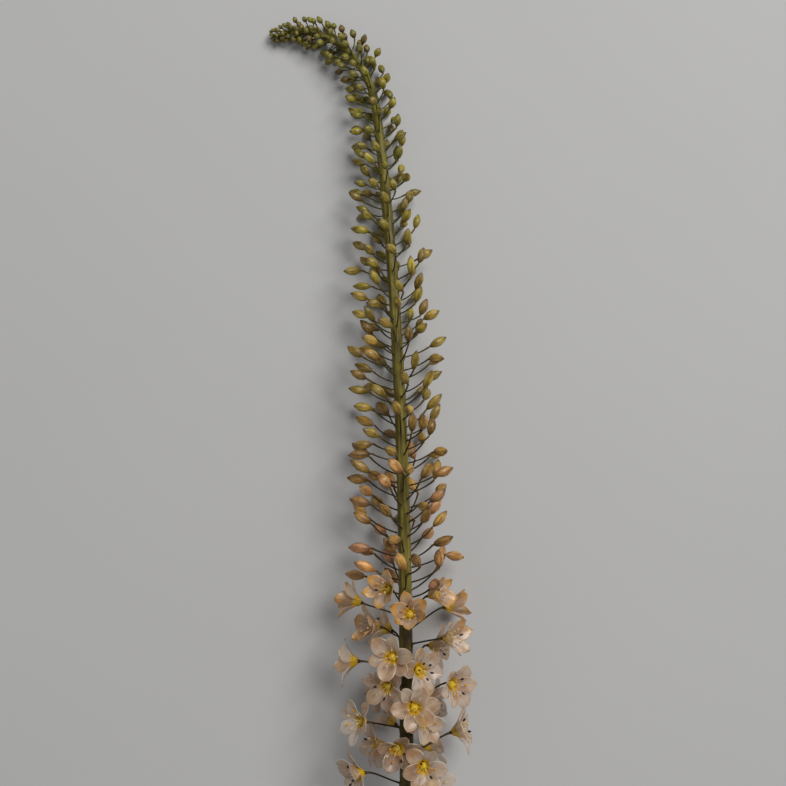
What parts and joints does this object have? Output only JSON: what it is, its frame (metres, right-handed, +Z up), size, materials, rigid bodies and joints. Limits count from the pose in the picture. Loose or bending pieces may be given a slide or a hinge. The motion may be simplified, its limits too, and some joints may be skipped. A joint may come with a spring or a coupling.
{
  "type": "foxtail lily flower spike",
  "caption": "Cut foxtail lily spike lying on its side: open pale flowers near the cut end, then stalked buds that shrink towards a nodding tip.",
  "frame": {"origin": "centre of the outer box, on the surface that the spike lies on", "axes": "+Z up from the surface, +Y along the stalk from the cut end to the tip, -X the side that the tip nods to"},
  "size_m": [0.1162, 0.484, 0.0732],
  "materials": {
    "stalk": "fresh stem and buds, olive green to ochre",
    "tepals": "thin translucent tepals, pale beige pink",
    "centre": "yellow ovary and stamens"
  },
  "bodies": {
    "root": {"flower_stalk": "stalk", "bloom_01_tepals": "tepals", "bloom_01_centre": "centre", "bloom_02_tepals": "tepals", "bloom_02_centre": "centre", "bloom_03_tepals": "tepals", "bloom_03_centre": "centre", "bloom_04_tepals": "tepals", "bloom_04_centre": "centre", "bloom_05_tepals": "tepals", "bloom_05_centre": "centre", "bloom_06_tepals": "tepals", "bloom_06_centre": "centre", "bloom_07_tepals": "tepals", "bloom_07_centre": "centre", "bloom_08_tepals": "tepals", "bloom_08_centre": "centre", "bloom_09_tepals": "tepals", "bloom_09_centre": "centre", "bloom_10_tepals": "tepals", "bloom_10_centre": "centre", "bloom_11_tepals": "tepals", "bloom_11_centre": "centre", "bloom_12_tepals": "tepals", "bloom_12_centre": "centre", "bloom_13_tepals": "tepals", "bloom_13_centre": "centre", "bloom_14_tepals": "tepals", "bloom_14_centre": "centre", "bloom_15_tepals": "tepals", "bloom_15_centre": "centre", "bloom_16_tepals": "tepals", "bloom_16_centre": "centre", "bloom_17_tepals": "tepals", "bloom_17_centre": "centre", "bloom_18_tepals": "tepals", "bloom_18_centre": "centre", "bloom_19_tepals": "tepals", "bloom_19_centre": "centre", "bloom_20_tepals": "tepals", "bloom_20_centre": "centre", "bloom_21_tepals": "tepals", "bloom_21_centre": "centre", "bloom_22_tepals": "tepals", "bloom_22_centre": "centre", "bloom_23_tepals": "tepals", "bloom_23_centre": "centre", "bloom_24_tepals": "tepals", "bloom_24_centre": "centre", "bloom_25_tepals": "tepals", "bloom_25_centre": "centre", "bloom_26_tepals": "tepals", "bloom_26_centre": "centre", "bloom_27_tepals": "tepals", "bloom_27_centre": "centre", "bloom_28_tepals": "tepals", "bloom_28_centre": "centre"}
  },
  "joints": []
}
